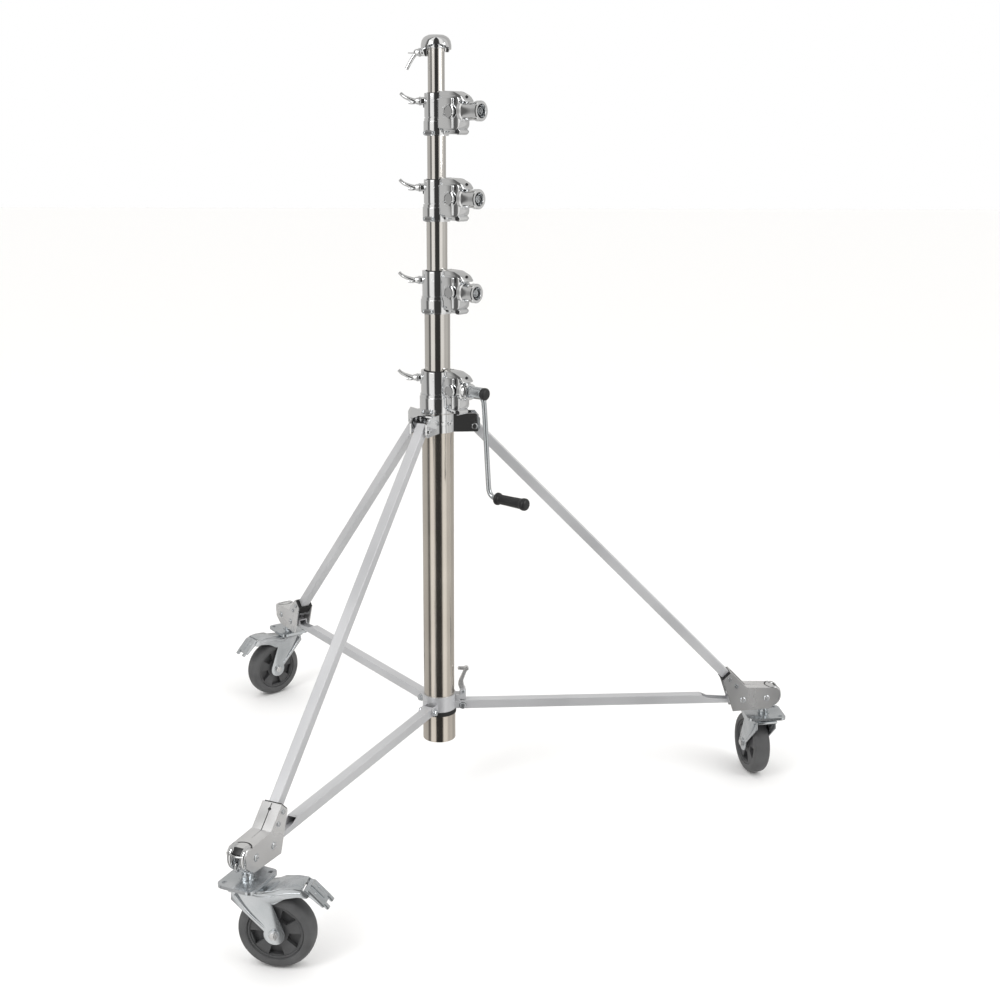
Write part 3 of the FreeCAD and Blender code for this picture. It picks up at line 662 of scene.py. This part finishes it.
def head():
    """The domed cap with its scalloped rim, the socket's skirt, and the boss, cheek and lug on its sides."""
    low, high = height_span("top_cap")
    rim_r = collar_radius("top_cap")
    dome_low = high - 19.0
    rim_low = dome_low - 12
    skirt_low = dome_low - 10
    bolt_z = JOINTS["t_bolt_5_turn"]["pos_m"][2] / MM
    outline = [
        (rim_low, rim_r - 3.4), (rim_low, rim_r - 0.8), (rim_low + 1.5, rim_r), (dome_low - 2, rim_r),
        (high - 12, rim_r - 2), (high - 6, rim_r - 6), (high - 2.5, rim_r - 11), (high - 0.6, rim_r - 16),
        (high, SOCKET_R + 2.6), (high - 2, SOCKET_R + 0.2), (low + 1, SOCKET_R + 0.2), (low, 15.5),
        (low, 16.8), (dome_low, 16.8), (dome_low + 3, 18), (dome_low + 3, rim_r - 5.4),
        (dome_low, rim_r - 3.4),
    ]
    cap = lathe(outline, 96, closed=True)
    for vertex in cap.verts:
        if vertex.co.z < (dome_low - 4) * MM and vertex.co.xy.length > 20 * MM:
            across = vertex.co.y / vertex.co.xy.length
            vertex.co.z += 11.0 * MM * across * across
    skirt = soft([(skirt_low, SKIRT_INNER_R), (skirt_low, 21), (skirt_low + 2, 22), (dome_low + 1, 22),
                  (dome_low + 1, SKIRT_INNER_R)], 1.0)
    boss = lathe(soft([(20, 0), (20, 8), (33, 8), (33, 4.2)], 1.0, closed=False), 32)
    shift(boss, 0, 0, bolt_z, AXIS_X)
    cheek = soft([
        (CHEEK_ROOT_R, bolt_z - 9), (27, bolt_z - 8), (31, bolt_z + 5), (rim_r - 1, rim_low + 3),
        (rim_r - 2, dome_low), (CHEEK_ROOT_R, dome_low),
    ], 3.0)
    lug = soft([
        (CHEEK_ROOT_R, dome_low - 17), (28, dome_low - 18), (31, dome_low - 8), (30, dome_low + 2),
        (CHEEK_ROOT_R, dome_low + 2),
    ], 2.5)
    shapes = [
        cap,
        lathe(skirt, 72, closed=True),
        shift(boss, turn=BOLT_PLACE),
        shift(prism(cheek, -8.5, 8.5, 1.4), turn=BOLT_PLACE),
        shift(prism(lug, -5.5, 5.5, 1.4), turn=BOLT_PLACE @ about_z(180)),
    ]
    piece("head_cap", shapes, "chrome", "riser_4", None, ["top_cap"])


# ---- legs ----
PIVOT_SIDE = 0.017  # the ends of a leg's pivot stand further out than this, in metres
FOOT_SLICE = 0.022  # the lowest part of a leg, in metres, which gives the middle of its foot
PLUG_HALF = 11.4
PLUG_TOP = 14.0  # the leg tube starts this far above its pivot


def leg_line(leg):
    """A leg's top pivot and its downward direction in its own plane, in millimetres."""
    turn = leg_place(leg).inverted()
    points = [turn @ vertex.co for vertex in NODES["leg_" + leg].data.vertices]
    lowest = min(point.z for point in points)

    def centre(group):
        return Vector((sum(p.x for p in group), sum(p.z for p in group))) / len(group) / MM

    pivot = centre([point for point in points if abs(point.y) > PIVOT_SIDE])
    foot = centre([point for point in points if point.z < lowest + FOOT_SLICE])
    return pivot, (foot - pivot).normalized()


def leg_trim(leg):
    """The black plug in a leg's top end."""
    start, along = leg_line(leg)
    top = start - along * PLUG_TOP
    turn = turned_to((-along.x, 0, -along.y))
    rim = block((-PLUG_HALF, PLUG_HALF), (-PLUG_HALF, PLUG_HALF), (-1, 4.5), 2.2)
    middle = block((-6, 6), (-6, 6), (4, 5.4), 1.0)
    plug = [shift(shape, top.x, 0, top.y, turn) for shape in (rim, middle)]
    piece("leg_plug_" + leg, plug, "black_plastic", "leg_" + leg, leg_place(leg))


HUB_LUG_HALF = 22.0
HUB_SCREW_AZIMUTHS = (-75.0, -52.0, 60.0, 180.0)


def hub_trim():
    """The screws the legs turn on, and those that hold the upper hub to the base tube."""
    screws = []
    for leg in LEGS:
        pivot = leg_line(leg)[0]
        for screw in both_sides(lambda: cap_screw(6.6, 3.6), pivot.x, HUB_LUG_HALF, pivot.y):
            screws.append(shift(screw, turn=leg_place(leg)))
    piece("hub_pivot_screws", screws, "chrome", "base")
    heads = []
    middle_z = sum(height_span("upper_hub")) / 2
    hub_r = tube_radius("base_tube") + 4.0
    for azimuth in HUB_SCREW_AZIMUTHS:
        head = shift(cap_screw(5.4, 3.2), hub_r - 0.6, 0, middle_z, AXIS_X)
        heads.append(shift(head, turn=about_z(azimuth)))
    piece("hub_screws", heads, "chrome", "base")


def brace_trim(leg):
    """The black end plug of a brace, and the washers and nuts of the bolt it turns on."""
    pivot = JOINTS["brace_%s_fold" % leg]["pos_m"]
    x, z = Vector(pivot).to_2d().length / MM, pivot[2] / MM
    outline = [(x - 11.5, z - 8), (x - 6, z - 11), (x + 2, z - 11), (x + 2, z + 11), (x - 6, z + 11),
               (x - 11.5, z + 8)]
    plug = prism(soft(outline, 3.0), -PLUG_HALF, PLUG_HALF, 1.2)
    piece("brace_plug_" + leg, [plug], "black_plastic", "brace_" + leg, leg_place(leg))
    washers = both_sides(lambda: rod(0, 1.8, 9.4, 0.5, 36), x, 17.0, z)
    nuts = both_sides(lambda: hexagon(7.6, 5.4), x, 18.6, z)
    piece("brace_nuts_" + leg, washers + nuts, "blue_zinc", "lower_collar", leg_place(leg))


# ---- foot brackets ----
BRACKET_HALF = 23.0
BRACKET_SKIN = 15.6  # how far the bracket's top face stands off the leg's middle line
MOUTH, HOLE, KNEE = 919.0, 931.0, 976.0  # along the leg, from its top pivot
SCREW_STATIONS = (927.0, 953.0)


def bracket_points(leg):
    """Where a bracket's caster turns, measured outwards, and the height of the hanger bolt under its bend."""
    swivel_x = Vector(JOINTS["caster_%s_swivel" % leg]["pos_m"]).to_2d().length / MM
    return swivel_x, height_span("caster_plate_" + leg)[1] - 14.0


def bracket_rivets(leg):
    """The two hollow rivets and the socket screws, on both sides of a bracket."""
    start, along = leg_line(leg)
    fold = JOINTS["leg_%s_fold" % leg]["pos_m"]
    pivot = (Vector(fold).to_2d().length / MM, fold[2] / MM)
    rim = soft([(0, 3.0), (3.0, 3.0), (4.3, 2.4), (4.3, 1.6), (2.0, 1.4), (0, 1.4)], 0.3)
    rivets = []
    for x, z in (pivot, bracket_points(leg)):
        rivets += both_sides(lambda: dome(8.2, 3.6), x, BRACKET_HALF, z)
        rivets += both_sides(lambda: lathe(rim, 20, closed=True), x, BRACKET_HALF, z)
    for station in SCREW_STATIONS:
        centre = start + along * station
        rivets += both_sides(lambda: cap_screw(5.2, 2.6), centre.x, BRACKET_HALF, centre.y)
    piece("bracket_rivets_" + leg, rivets, "blue_zinc", "leg_" + leg, leg_place(leg))


def seam_and_shade_on_bracket(leg):
    """The dark seam along a bracket's top face, with a black dome as painted shade in the small hole and a flat
    black strip as painted shade in the gap at the hook's root.
    """
    start, along = leg_line(leg)
    out = Vector((-along.y, along.x))
    swivel_x, hanger_z = bracket_points(leg)
    mouth, knee = (start + along * station + out * BRACKET_SKIN for station in (MOUTH, KNEE))
    hole = start + along * HOLE + out * (BRACKET_SKIN - 0.1)
    gap_z = hanger_z + 27.2
    gap = [(swivel_x + 15, -21, gap_z), (swivel_x + 3, -12, gap_z), (swivel_x - 1, 2, gap_z),
           (swivel_x + 3, 14, gap_z), (swivel_x + 14, 22, gap_z)]
    # the seam is a dark joint; the black dome in the hole and the black strip in the gap are painted shade
    seam = [
        sweep([(mouth.x, 0, mouth.y), (knee.x, 0, knee.y)], 0.9, 10, smooth=False),
        shift(dome(3.6, 1.1), hole.x, 0, hole.y, turned_to((out.x, 0, out.y))),
        sweep([(knee.x, 0, knee.y), (knee.x + 42, 0, hanger_z + 27.3)], 0.9, 10, smooth=False),
        sweep(gap, lambda t: (2.6, 0.9), 12),
    ]
    piece("bracket_seam_and_shade_" + leg, seam, "black_plastic", "leg_" + leg, leg_place(leg))


def bracket_hook(leg):
    """The hook at a bracket's front, with a black block as painted shade in its hollow, its two cheeks and the
    ring that hangs in it.
    """
    place = leg_place(leg)
    x, z = bracket_points(leg)
    # a black block stands in for painted shade inside the hook's hollow
    hollow = [(x + 10, z + 24), (x + 25, z + 28), (x + 35.2, z + 18), (x + 30, z + 12), (x + 10, z + 12)]
    piece("bracket_hollow_shade_" + leg, [prism(hollow, -11, 11, 1.0)], "black_plastic", "leg_" + leg, place)
    shapes = []
    for y in (-15.0, 15.0):
        rail = [(x + 6, y, z + 25), (x + 20, y, z + 28.5), (x + 33, y, z + 21), (x + 38, y, z + 4),
                (x + 32, y, z - 14), (x + 16, y, z - 25)]
        shapes.append(sweep(rail, lambda t: (6.0 - 1.5 * t, 2.6), 20))
    tie = [(x + 34, -17, z + 15), (x + 37.5, 0, z + 14), (x + 34, 17, z + 15)]
    shapes.append(sweep(tie, lambda t: (3.4, 2.2), 16))
    turns = [2 * math.pi * step / 24 for step in range(25)]
    ring = [(x + 31 + 8.0 * math.cos(turn), 0, z - 10 + 9.5 * math.sin(turn)) for turn in turns]
    shapes.append(sweep(ring, 1.9, 12, ends=False, smooth=False))
    cheek = soft([(x - 12, z - 20), (x + 20, z - 24), (x + 26, z), (x + 16, z + 16), (x - 12, z + 18)], 6.0)
    for y in (-16.0, 16.0):
        shapes.append(prism(cheek, y - 1.6, y + 1.6, 0.6))
    piece("latch_hook_" + leg, shapes, "chrome", "leg_" + leg, place)


# ---- casters ----
CROWN_OVER_PLATE = 12.0  # the stem under a caster's plate ends this far below the fork's crown
SWIVEL_GAP = 8.1
FORK_HALF_GAP = 23.5
FORK_SHEET = 3.5
LOBE_R = 22.0  # the round end of a fork's side, about the axle


def crown_top(leg):
    """The height of the flat crown of a fork, and of the plate's underside above it."""
    low = height_span("caster_plate_" + leg)[0] + CROWN_OVER_PLATE
    return low, low + SWIVEL_GAP


def swivel_race(leg):
    """The stepped ball race under the plate and the nut that stands on it."""
    crown, plate = crown_top(leg)
    race = soft([(crown + 0.3, 9), (crown + 0.3, 27), (crown + 2, 29.5), (plate + 0.1, 31.5),
                 (plate + 0.1, 9)], 1.0)
    parts = [
        lathe(race, 56, closed=True),
        shift(rod(0, 1.8, 16.5, 0.6, 40), 0, 0, plate + 6.8),
        shift(hexagon(13.0, 9.0, 1.0), 0, 0, plate + 6.9),
    ]
    piece("swivel_race_" + leg, parts, "blue_zinc", "leg_" + leg, caster_place(leg))


def axle_point(leg):
    """A wheel's axle as seen from its swivel: how far it trails, and its height."""
    axle = Vector(JOINTS["wheel_%s_spin" % leg]["pos_m"])
    swivel = Vector(JOINTS["caster_%s_swivel" % leg]["pos_m"])
    return (axle - swivel).to_2d().length / MM, axle.z / MM


def fork(leg):
    """The pressed fork: two tapering sides, a crown and a curved band over the wheel."""
    place = caster_place(leg)
    axle_x, axle_z = axle_point(leg)
    crown_z = crown_top(leg)[0]
    outside = FORK_HALF_GAP + FORK_SHEET
    turns = [math.radians(12 - 210 * step / 12) for step in range(13)]
    lobe = [(axle_x + LOBE_R * math.cos(turn), axle_z + LOBE_R * math.sin(turn)) for turn in turns]
    sheet = soft([
        (-30, crown_z - 0.2), (30, crown_z - 0.2), (60, 177.7), (72, 183.7), (100, 186.7), (120, 184.6),
        (135, 174.5), (128, 165.5), (111, 168.5), (84, 162), (61, 147),
    ], 5.0) + lobe + [(0, 124), (-27, 151)]
    parts = []
    for side in (-1, 1):
        inner, outer = sorted((side * FORK_HALF_GAP, side * outside))
        parts.append(prism(sheet, inner, outer, 1.0))
        skin = side * (outside - 0.4)
        rib = [(-18, skin, 164), (6, skin, 128), (axle_x - 20, skin, axle_z + 16)]
        parts.append(sweep(rib, lambda t: (1.6 + 4.4 * (1 - t), 1.6), 16))
        edge = [(8, skin, 166), (44, skin, 160), (78, skin, 174), (116, skin, 178)]
        parts.append(sweep(edge, 1.5, 14))
    parts += both_sides(lambda: rod(0, 1.6, 11.5, 0.5, 36), axle_x, outside, axle_z)
    crown = soft([(-32, crown_z - 6.6), (30, crown_z - 6.6), (30, crown_z), (-32, crown_z)], 2.4)
    band = [(29, crown_z), (59, 178.1), (72, 184.1), (100, 187.1), (120, 185), (119, 181.4), (100, 183.4),
            (74, 180.4), (62, 174.4), (30, 166.2)]
    parts += [prism(crown, -outside, outside, 1.2), prism(band, -outside, outside, 0.9)]
    piece("fork_sheet_" + leg, parts, "blue_zinc", "caster_fork_" + leg, place, ["caster_fork_" + leg])
    bolt = both_sides(lambda: hexagon(9.0, 5.6), axle_x, outside + 1.4, axle_z)
    bolt += both_sides(lambda: dome(4.8, 1.6), axle_x, outside + 6.8, axle_z)
    spindle = lathe([(-FORK_HALF_GAP, 0), (-FORK_HALF_GAP, 4.9), (FORK_HALF_GAP, 4.9),
                     (FORK_HALF_GAP, 0)], 32)
    bolt.append(shift(spindle, axle_x, 0, axle_z, AXIS_Y))
    piece("axle_" + leg, bolt, "zinc", "caster_fork_" + leg, place)


def pedal(leg):
    """The wheel lock: a folded pad between the fork's sides, a raised step, and two prongs at its end."""
    joint = Vector(JOINTS["brake_pedal_%s_press" % leg]["pos_m"])
    x = (joint - Vector(JOINTS["caster_%s_swivel" % leg]["pos_m"])).to_2d().length / MM
    z = joint.z / MM
    width = FORK_HALF_GAP - 0.4
    pad = [(x - 4.5, z + 10), (x + 7, z + 9), (x + 38, z - 22), (x + 33, z - 27), (x + 8, z - 7),
           (x - 4.5, z - 2)]
    prong = soft([(x + 30, z - 20.6), (x + 36, z - 17), (x + 46, z - 28), (x + 41, z - 32)], 2.0)
    step_up = soft([(x + 4, z + 11), (x + 9, z + 9.5), (x + 33, z - 14.5), (x + 29, z - 18)], 1.6)
    parts = [prism(soft(pad, 3.0), -width, width, 1.4), prism(step_up, -4.5, 4.5, 1.2)]
    parts += [prism(prong, y - 5, y + 5, 1.2) for y in (-15.0, 15.0)]
    for y in (-13.0, 13.0):
        parts.append(shift(dome(3.0, 1.6), x + 17, y, z - 0.8, turned_to((0.707, 0, 0.707))))
    node = "brake_pedal_" + leg
    piece("wheel_lock_" + leg, parts, "blue_zinc", node, caster_place(leg), [node])


WHEEL_RIM_R = 58.0
TREAD_HALF = 21.0


def wheel(leg):
    """A solid tyre with a rounded tread, and the wheel centre's raised rings."""
    place = caster_place(leg)
    axle_x, axle_z = axle_point(leg)
    shoulder = WHEEL_RIM_R + 4
    tread = []
    for step in range(-10, 11):
        t = step / 10
        angle = t * math.pi / 2
        across = TREAD_HALF * math.copysign(abs(math.sin(angle)) ** 0.85, t)
        tread.append((across, shoulder + (axle_z - shoulder) * abs(math.cos(angle)) ** 0.55))
    outline = [(-17.5, WHEEL_RIM_R), (-20.4, WHEEL_RIM_R + 1.6)] + tread
    outline += [(20.4, WHEEL_RIM_R + 1.6), (17.5, WHEEL_RIM_R)]
    tyre = shift(lathe(outline, 128, closed=True), axle_x, 0, axle_z, AXIS_Y)
    piece("tyre_tread_" + leg, [tyre], "grey_tyre", "wheel_" + leg, place, ["tyre_" + leg])
    lip = soft([(13.0, 53.0), (17.6, 53.6), (17.6, 57.8), (13.0, 57.9)], 1.0)
    boss = soft([(13.0, 5.6), (22.8, 5.6), (22.8, 12.5), (15.5, 16.5), (13.0, 16.5)], 1.2)
    rings = both_sides(lambda: lathe(lip, 96, closed=True), axle_x, 0, axle_z)
    rings += both_sides(lambda: lathe(boss, 48, closed=True), axle_x, 0, axle_z)
    piece("wheel_rings_" + leg, rings, "hub_plastic", "wheel_" + leg, place)


# ---- latch lever ----
LEVER_HALF = 4.9
BALL_R = 6.0


def latch():
    """A small swinging lever with a cross bar, its ball end and the pin it turns on."""
    joint = JOINTS["latch_lever_turn"]["pos_m"]
    x, z = joint[0] / MM, joint[2] / MM
    tip_x, tip_z = x + 9, height_span("latch_lever")[1] - BALL_R
    arm = soft([
        (x - 6, z), (x - 5.6, z - 4), (x, z - 6.4), (x + 5.6, z - 4), (x + 6, z), (x + 4, z + 14),
        (x + 1, z + 26), (tip_x + 4, tip_z), (tip_x - 5, tip_z), (x - 10, z + 26), (x - 12, z + 14),
    ], 4.0)
    bar = lathe(soft([(0, 0), (0, 5.2), (18, 4.8), (21, 3.6), (22, 0)], 1.2, closed=False), 28)
    parts = [
        prism(arm, -LEVER_HALF, LEVER_HALF, 1.4),
        shift(bar, tip_x, 0, tip_z, turned_to((-1, 0, 0.04))),
        shift(rod(-5.6, 5.6, BALL_R, 1.6, 28), tip_x, 0, tip_z, AXIS_Y),
    ]
    piece("latch_arm", parts, "zinc", "latch_lever", None, ["latch_lever"])
    pins = both_sides(lambda: dome(5.0, 2.2), x, 12.0, z)
    piece("latch_pins", pins, "blue_zinc", "lower_collar")


for stage in STAGES:
    gearbox(stage)
    collar_trim(stage)
for number in STAGES + ("5",):
    t_bolt(number)
crank()
head()
hub_trim()
latch()
for leg in LEGS:
    leg_trim(leg)
    brace_trim(leg)
    bracket_rivets(leg)
    seam_and_shade_on_bracket(leg)
    bracket_hook(leg)
    swivel_race(leg)
    fork(leg)
    pedal(leg)
    wheel(leg)


# ---- stage, light and camera ----
CAMERA_PLACE = (-0.1511, -3.2127, 1.6109)
CAMERA_YAW, CAMERA_PITCH, CAMERA_ROLL = 0.0933, -0.2569, 0.0069  # towards +X, down, clockwise
CAMERA_LENS = 49.59
SUN_POWER = 1.72
STAND_MIDDLE = (0, 0, 0.8)


def make_camera():
    """The camera: its aim from the yaw and pitch, then a slight roll about that aim."""
    forward = Vector((
        math.sin(CAMERA_YAW) * math.cos(CAMERA_PITCH),
        math.cos(CAMERA_YAW) * math.cos(CAMERA_PITCH),
        math.sin(CAMERA_PITCH),
    ))
    level = Vector((math.cos(CAMERA_YAW), -math.sin(CAMERA_YAW), 0.0))
    up = level.cross(forward)
    right = level * math.cos(CAMERA_ROLL) + up * math.sin(CAMERA_ROLL)
    up = right.cross(forward)
    data = bpy.data.cameras.new("camera")
    data.lens = CAMERA_LENS
    data.sensor_width = 36.0
    camera = bpy.data.objects.new("camera", data)
    turn = Matrix((right, up, -forward)).transposed().to_4x4()
    camera.matrix_world = Matrix.Translation(CAMERA_PLACE) @ turn
    bpy.context.collection.objects.link(camera)
    bpy.context.scene.camera = camera


def make_floor():
    """A wide white floor that the polished tubes do not reflect."""
    mesh = bpy.data.meshes.new("floor")
    size = 30.0
    corners = [(-size, -size, 0), (size, -size, 0), (size, size, 0), (-size, size, 0)]
    mesh.from_pydata(corners, [], [(0, 1, 2, 3)])
    floor = bpy.data.objects.new("floor", mesh)
    bpy.context.collection.objects.link(floor)
    mesh.materials.append(new_material("floor", (0.93, 0.93, 0.93), 0.0, 0.9)[0])
    floor.visible_glossy = False


def make_world():
    """A white studio with a dark gap on the photographer's side, which the polished tubes reflect."""
    world = bpy.data.worlds.new("studio")
    bpy.context.scene.world = world
    world.use_nodes = True
    tree = world.node_tree
    tree.nodes.clear()
    direction = tree.nodes.new("ShaderNodeTexCoord")
    split = tree.nodes.new("ShaderNodeSeparateXYZ")
    tree.links.new(direction.outputs["Generated"], split.inputs["Vector"])
    angle = add(tree, "ShaderNodeMath")
    angle.operation = "ARCTAN2"
    tree.links.new(split.outputs["X"], angle.inputs[0])
    back = add(tree, "ShaderNodeMath")
    back.operation = "MULTIPLY"
    back.inputs[1].default_value = -1.0
    tree.links.new(split.outputs["Y"], back.inputs[0])
    tree.links.new(back.outputs["Value"], angle.inputs[1])
    place = add(tree, "ShaderNodeMapRange", From_Min=-math.pi, From_Max=math.pi)
    tree.links.new(angle.outputs["Value"], place.inputs["Value"])
    ramp = tree.nodes.new("ShaderNodeValToRGB")
    ramp.color_ramp.interpolation = "LINEAR"
    # (bearing from the photographer's side in degrees, tone): positive bearings are to the right
    tones = [(-180, 0.60), (-92, 0.55), (-80, 0.14), (-69, 0.12), (-60, 1.0), (-29, 0.95), (-23, 0.05),
             (21, 0.04), (30, 1.0), (55, 0.95), (64, 0.62), (98, 0.66), (112, 0.48), (180, 0.60)]
    elements = ramp.color_ramp.elements
    for _ in range(len(tones) - 2):
        elements.new(0.5)
    for element, (bearing, grey) in zip(elements, tones):
        element.position = (bearing + 180) / 360
        element.color = (grey, grey * 0.985, grey * 0.96, 1.0)
    tree.links.new(place.outputs["Result"], ramp.inputs["Fac"])
    path = tree.nodes.new("ShaderNodeLightPath")
    mix = tree.nodes.new("ShaderNodeMixRGB")
    mix.inputs["Color2"].default_value = (1.0, 1.0, 1.0, 1.0)
    tree.links.new(path.outputs["Is Camera Ray"], mix.inputs["Fac"])
    tree.links.new(ramp.outputs["Color"], mix.inputs["Color1"])
    background = add(tree, "ShaderNodeBackground", Strength=1.0)
    output = tree.nodes.new("ShaderNodeOutputWorld")
    tree.links.new(mix.outputs["Color"], background.inputs["Color"])
    tree.links.new(background.outputs["Background"], output.inputs["Surface"])


def area_light(name, place, aim, size, power):
    """A rectangular lamp at one place, aimed at another."""
    data = bpy.data.lights.new(name, "AREA")
    data.shape = "RECTANGLE"
    data.size, data.size_y = size
    data.energy = power
    light = bpy.data.objects.new(name, data)
    light.location = place
    light.rotation_euler = (Vector(aim) - Vector(place)).to_track_quat("-Z", "Y").to_euler()
    bpy.context.collection.objects.link(light)


def sun_light(power):
    """Soft light from straight overhead, for an even floor."""
    data = bpy.data.lights.new("overhead_light", "SUN")
    data.energy = power
    data.angle = math.radians(120)
    light = bpy.data.objects.new("overhead_light", data)
    light.location = (0, 0, 4)
    light.visible_glossy = False
    bpy.context.collection.objects.link(light)


make_camera()
make_floor()
make_world()
sun_light(SUN_POWER)
area_light("key_light", (-2.6, -2.4, 3.2), STAND_MIDDLE, (1.6, 2.2), 45.0)
area_light("fill_light", (3.0, -1.8, 2.4), STAND_MIDDLE, (1.4, 2.0), 25.0)
bpy.context.scene.view_settings.view_transform = "Standard"
